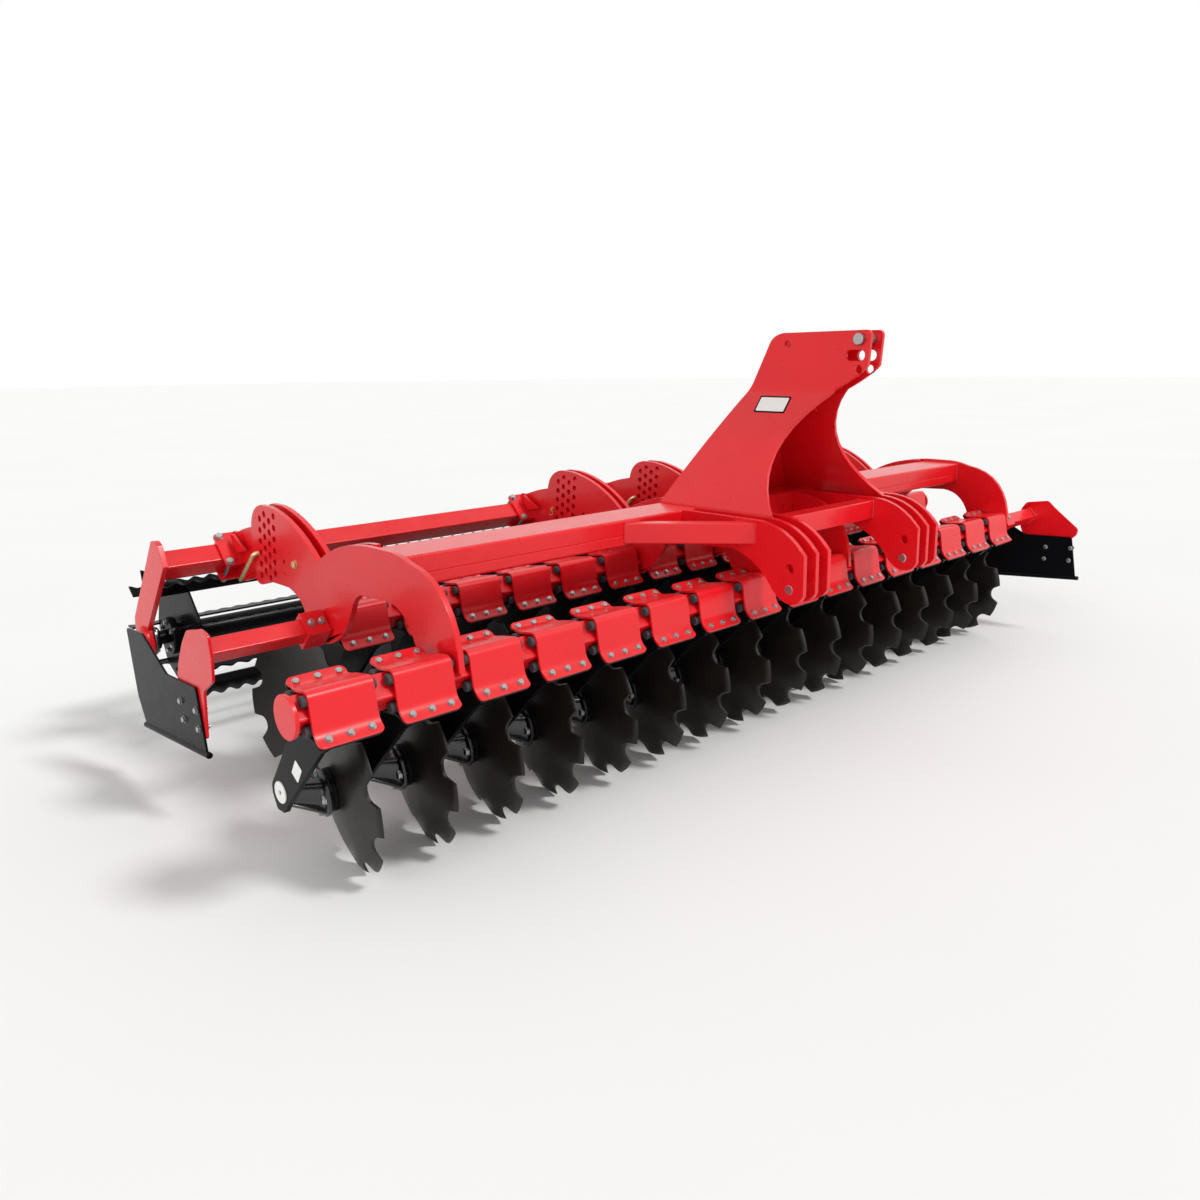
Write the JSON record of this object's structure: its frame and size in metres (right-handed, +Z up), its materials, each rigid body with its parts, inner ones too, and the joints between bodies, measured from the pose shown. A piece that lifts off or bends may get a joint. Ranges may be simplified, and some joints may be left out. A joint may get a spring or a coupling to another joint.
{
  "type": "disc harrow",
  "caption": "Mounted compact disc harrow: two rows of notched discs on sprung arms under a square-tube frame, three-point headstock and tooth-bar roller.",
  "frame": {"origin": "middle of the machine's footprint box, on the ground that the discs stand on", "axes": "+Z up, -Y to the front where the tractor couples, +Y to the roller at the rear, +X to the machine's left, -X to its right"},
  "size_m": [4.5, 2.248, 1.582],
  "materials": {
    "red_paint": "gloss red enamel over welded steel",
    "black_paint": "gloss black paint",
    "black_rubber": "plain moulded rubber",
    "zinc": "bright zinc plating",
    "yellow_zinc": "yellow passivated zinc plating",
    "label": "blank printed film"
  },
  "bodies": {
    "frame": {"main_beam": "red_paint", "side_plate_right": "red_paint", "side_quadrant_right": "red_paint", "inner_plate_right": "red_paint", "inner_quadrant_right": "red_paint", "hitch_right": "red_paint", "headstock_right": "red_paint", "deflector_right": "black_paint", "side_plate_left": "red_paint", "side_quadrant_left": "red_paint", "inner_plate_left": "red_paint", "inner_quadrant_left": "red_paint", "hitch_left": "red_paint", "headstock_left": "red_paint", "deflector_left": "black_paint", "hitch_cross_tube": "red_paint", "headstock_back": "red_paint", "headstock_tie": "red_paint", "front_gang": "red_paint", "rear_gang": "red_paint"},
    "roller_frame": {"roller_beam": "red_paint", "roller_end_right": "red_paint", "roller_arm_right": "red_paint", "roller_inner_arm_right": "red_paint", "roller_end_left": "red_paint", "roller_arm_left": "red_paint", "roller_inner_arm_left": "red_paint"},
    "roller": {"roller": "black_paint"},
    "disc_front_01": {"disc_front_01": "black_paint"},
    "disc_front_02": {"disc_front_02": "black_paint"},
    "disc_front_03": {"disc_front_03": "black_paint"},
    "disc_front_04": {"disc_front_04": "black_paint"},
    "disc_front_05": {"disc_front_05": "black_paint"},
    "disc_front_06": {"disc_front_06": "black_paint"},
    "disc_front_07": {"disc_front_07": "black_paint"},
    "disc_front_08": {"disc_front_08": "black_paint"},
    "disc_front_09": {"disc_front_09": "black_paint"},
    "disc_front_10": {"disc_front_10": "black_paint"},
    "disc_front_11": {"disc_front_11": "black_paint"},
    "disc_front_12": {"disc_front_12": "black_paint"},
    "disc_front_13": {"disc_front_13": "black_paint"},
    "disc_front_14": {"disc_front_14": "black_paint"},
    "disc_front_15": {"disc_front_15": "black_paint"},
    "disc_front_16": {"disc_front_16": "black_paint"},
    "disc_rear_01": {"disc_rear_01": "black_paint"},
    "disc_rear_02": {"disc_rear_02": "black_paint"},
    "disc_rear_03": {"disc_rear_03": "black_paint"},
    "disc_rear_04": {"disc_rear_04": "black_paint"},
    "disc_rear_05": {"disc_rear_05": "black_paint"},
    "disc_rear_06": {"disc_rear_06": "black_paint"},
    "disc_rear_07": {"disc_rear_07": "black_paint"},
    "disc_rear_08": {"disc_rear_08": "black_paint"},
    "disc_rear_09": {"disc_rear_09": "black_paint"},
    "disc_rear_10": {"disc_rear_10": "black_paint"},
    "disc_rear_11": {"disc_rear_11": "black_paint"},
    "disc_rear_12": {"disc_rear_12": "black_paint"},
    "disc_rear_13": {"disc_rear_13": "black_paint"},
    "disc_rear_14": {"disc_rear_14": "black_paint"},
    "disc_rear_15": {"disc_rear_15": "black_paint"},
    "disc_rear_16": {"disc_rear_16": "black_paint"}
  },
  "joints": [
    {"name": "disc_front_01_spin", "type": "hinge", "parent": "frame", "child": "disc_front_01", "pos_m": [-2.02404, -0.57591, 0.27112], "axis": [0.9809, -0.1818, 0.0698], "continuous": true},
    {"name": "disc_front_02_spin", "type": "hinge", "parent": "frame", "child": "disc_front_02", "pos_m": [-1.77404, -0.57591, 0.27112], "axis": [0.9809, -0.1818, 0.0698], "continuous": true},
    {"name": "disc_front_03_spin", "type": "hinge", "parent": "frame", "child": "disc_front_03", "pos_m": [-1.52404, -0.57591, 0.27112], "axis": [0.9809, -0.1818, 0.0698], "continuous": true},
    {"name": "disc_front_04_spin", "type": "hinge", "parent": "frame", "child": "disc_front_04", "pos_m": [-1.27404, -0.57591, 0.27112], "axis": [0.9809, -0.1818, 0.0698], "continuous": true},
    {"name": "disc_front_05_spin", "type": "hinge", "parent": "frame", "child": "disc_front_05", "pos_m": [-1.02404, -0.57591, 0.27112], "axis": [0.9809, -0.1818, 0.0698], "continuous": true},
    {"name": "disc_front_06_spin", "type": "hinge", "parent": "frame", "child": "disc_front_06", "pos_m": [-0.77404, -0.57591, 0.27112], "axis": [0.9809, -0.1818, 0.0698], "continuous": true},
    {"name": "disc_front_07_spin", "type": "hinge", "parent": "frame", "child": "disc_front_07", "pos_m": [-0.52404, -0.57591, 0.27112], "axis": [0.9809, -0.1818, 0.0698], "continuous": true},
    {"name": "disc_front_08_spin", "type": "hinge", "parent": "frame", "child": "disc_front_08", "pos_m": [-0.27404, -0.57591, 0.27112], "axis": [0.9809, -0.1818, 0.0698], "continuous": true},
    {"name": "disc_front_09_spin", "type": "hinge", "parent": "frame", "child": "disc_front_09", "pos_m": [-0.02404, -0.57591, 0.27112], "axis": [0.9809, -0.1818, 0.0698], "continuous": true},
    {"name": "disc_front_10_spin", "type": "hinge", "parent": "frame", "child": "disc_front_10", "pos_m": [0.22596, -0.57591, 0.27112], "axis": [0.9809, -0.1818, 0.0698], "continuous": true},
    {"name": "disc_front_11_spin", "type": "hinge", "parent": "frame", "child": "disc_front_11", "pos_m": [0.47596, -0.57591, 0.27112], "axis": [0.9809, -0.1818, 0.0698], "continuous": true},
    {"name": "disc_front_12_spin", "type": "hinge", "parent": "frame", "child": "disc_front_12", "pos_m": [0.72596, -0.57591, 0.27112], "axis": [0.9809, -0.1818, 0.0698], "continuous": true},
    {"name": "disc_front_13_spin", "type": "hinge", "parent": "frame", "child": "disc_front_13", "pos_m": [0.97596, -0.57591, 0.27112], "axis": [0.9809, -0.1818, 0.0698], "continuous": true},
    {"name": "disc_front_14_spin", "type": "hinge", "parent": "frame", "child": "disc_front_14", "pos_m": [1.22596, -0.57591, 0.27112], "axis": [0.9809, -0.1818, 0.0698], "continuous": true},
    {"name": "disc_front_15_spin", "type": "hinge", "parent": "frame", "child": "disc_front_15", "pos_m": [1.47596, -0.57591, 0.27112], "axis": [0.9809, -0.1818, 0.0698], "continuous": true},
    {"name": "disc_front_16_spin", "type": "hinge", "parent": "frame", "child": "disc_front_16", "pos_m": [1.72596, -0.57591, 0.27112], "axis": [0.9809, -0.1818, 0.0698], "continuous": true},
    {"name": "disc_rear_01_spin", "type": "hinge", "parent": "frame", "child": "disc_rear_01", "pos_m": [-1.72596, 0.14209, 0.27112], "axis": [-0.9809, -0.1818, 0.0698], "continuous": true},
    {"name": "disc_rear_02_spin", "type": "hinge", "parent": "frame", "child": "disc_rear_02", "pos_m": [-1.47596, 0.14209, 0.27112], "axis": [-0.9809, -0.1818, 0.0698], "continuous": true},
    {"name": "disc_rear_03_spin", "type": "hinge", "parent": "frame", "child": "disc_rear_03", "pos_m": [-1.22596, 0.14209, 0.27112], "axis": [-0.9809, -0.1818, 0.0698], "continuous": true},
    {"name": "disc_rear_04_spin", "type": "hinge", "parent": "frame", "child": "disc_rear_04", "pos_m": [-0.97596, 0.14209, 0.27112], "axis": [-0.9809, -0.1818, 0.0698], "continuous": true},
    {"name": "disc_rear_05_spin", "type": "hinge", "parent": "frame", "child": "disc_rear_05", "pos_m": [-0.72596, 0.14209, 0.27112], "axis": [-0.9809, -0.1818, 0.0698], "continuous": true},
    {"name": "disc_rear_06_spin", "type": "hinge", "parent": "frame", "child": "disc_rear_06", "pos_m": [-0.47596, 0.14209, 0.27112], "axis": [-0.9809, -0.1818, 0.0698], "continuous": true},
    {"name": "disc_rear_07_spin", "type": "hinge", "parent": "frame", "child": "disc_rear_07", "pos_m": [-0.22596, 0.14209, 0.27112], "axis": [-0.9809, -0.1818, 0.0698], "continuous": true},
    {"name": "disc_rear_08_spin", "type": "hinge", "parent": "frame", "child": "disc_rear_08", "pos_m": [0.02404, 0.14209, 0.27112], "axis": [-0.9809, -0.1818, 0.0698], "continuous": true},
    {"name": "disc_rear_09_spin", "type": "hinge", "parent": "frame", "child": "disc_rear_09", "pos_m": [0.27404, 0.14209, 0.27112], "axis": [-0.9809, -0.1818, 0.0698], "continuous": true},
    {"name": "disc_rear_10_spin", "type": "hinge", "parent": "frame", "child": "disc_rear_10", "pos_m": [0.52404, 0.14209, 0.27112], "axis": [-0.9809, -0.1818, 0.0698], "continuous": true},
    {"name": "disc_rear_11_spin", "type": "hinge", "parent": "frame", "child": "disc_rear_11", "pos_m": [0.77404, 0.14209, 0.27112], "axis": [-0.9809, -0.1818, 0.0698], "continuous": true},
    {"name": "disc_rear_12_spin", "type": "hinge", "parent": "frame", "child": "disc_rear_12", "pos_m": [1.02404, 0.14209, 0.27112], "axis": [-0.9809, -0.1818, 0.0698], "continuous": true},
    {"name": "disc_rear_13_spin", "type": "hinge", "parent": "frame", "child": "disc_rear_13", "pos_m": [1.27404, 0.14209, 0.27112], "axis": [-0.9809, -0.1818, 0.0698], "continuous": true},
    {"name": "disc_rear_14_spin", "type": "hinge", "parent": "frame", "child": "disc_rear_14", "pos_m": [1.52404, 0.14209, 0.27112], "axis": [-0.9809, -0.1818, 0.0698], "continuous": true},
    {"name": "disc_rear_15_spin", "type": "hinge", "parent": "frame", "child": "disc_rear_15", "pos_m": [1.77404, 0.14209, 0.27112], "axis": [-0.9809, -0.1818, 0.0698], "continuous": true},
    {"name": "disc_rear_16_spin", "type": "hinge", "parent": "frame", "child": "disc_rear_16", "pos_m": [2.02404, 0.14209, 0.27112], "axis": [-0.9809, -0.1818, 0.0698], "continuous": true},
    {"name": "roller_lift", "type": "hinge", "parent": "frame", "child": "roller_frame", "pos_m": [0, 0.104, 0.8], "axis": [1, 0, 0], "range_deg": [0, 12]},
    {"name": "roller_spin", "type": "hinge", "parent": "roller_frame", "child": "roller", "pos_m": [0, 0.849, 0.43], "axis": [1, 0, 0], "continuous": true}
  ]
}
